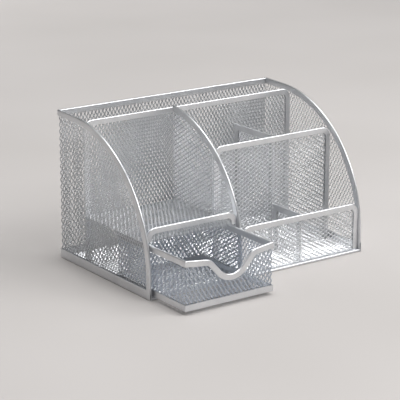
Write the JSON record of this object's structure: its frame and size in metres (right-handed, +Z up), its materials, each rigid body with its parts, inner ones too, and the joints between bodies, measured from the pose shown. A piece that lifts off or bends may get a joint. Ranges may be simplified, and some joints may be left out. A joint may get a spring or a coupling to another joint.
{
  "type": "desk organizer with drawer",
  "caption": "Silver mesh desk organizer with curved sides, pen cups, trays, a rear slot and a small sliding drawer.",
  "frame": {"origin": "middle of the base's front edge strip, on the underside that the stand rests on", "axes": "+X to the right seen from the front, +Y from the front to the back, +Z up"},
  "size_m": [0.22, 0.181, 0.13],
  "materials": {
    "mesh": "silver powder coat",
    "strip": "silver powder coat",
    "drawer_mesh": "silver powder coat",
    "drawer_strip": "silver powder coat"
  },
  "bodies": {
    "stand": {"left_side_mesh": "mesh", "right_side_mesh": "mesh", "back_mesh": "mesh", "base_mesh": "mesh", "left_side_rim": "strip", "right_side_rim": "strip", "back_top_rim": "strip", "left_bottom_strip": "strip", "right_bottom_strip": "strip", "back_bottom_strip": "strip", "front_bottom_strip": "strip", "rear_divider_mesh": "mesh", "rear_divider_frame": "strip", "mid_divider_mesh": "mesh", "mid_divider_frame": "strip", "front_panel_mesh": "mesh", "front_panel_frame": "strip", "rear_cross_divider_mesh": "mesh", "rear_cross_divider_frame": "strip", "front_cross_divider_mesh": "mesh", "front_cross_divider_frame": "strip", "centre_partition_mesh": "mesh", "centre_partition_rim": "strip", "shelf_mesh": "mesh", "shelf_lip_mesh": "mesh", "shelf_lip_rim": "strip"},
    "drawer": {"drawer_front_mesh": "drawer_mesh", "drawer_front_rim": "drawer_strip", "drawer_front_bottom_strip": "drawer_strip", "drawer_left_mesh": "drawer_mesh", "drawer_left_rim": "drawer_strip", "drawer_left_bottom_strip": "drawer_strip", "drawer_right_mesh": "drawer_mesh", "drawer_right_rim": "drawer_strip", "drawer_right_bottom_strip": "drawer_strip", "drawer_back_mesh": "drawer_mesh", "drawer_back_rim": "drawer_strip", "drawer_back_bottom_strip": "drawer_strip", "drawer_floor_mesh": "drawer_mesh"}
  },
  "joints": [
    {"name": "drawer_slide", "type": "slide", "parent": "stand", "child": "drawer", "axis": [0, -1, 0], "range_m": [-0.044, 0.031]}
  ]
}
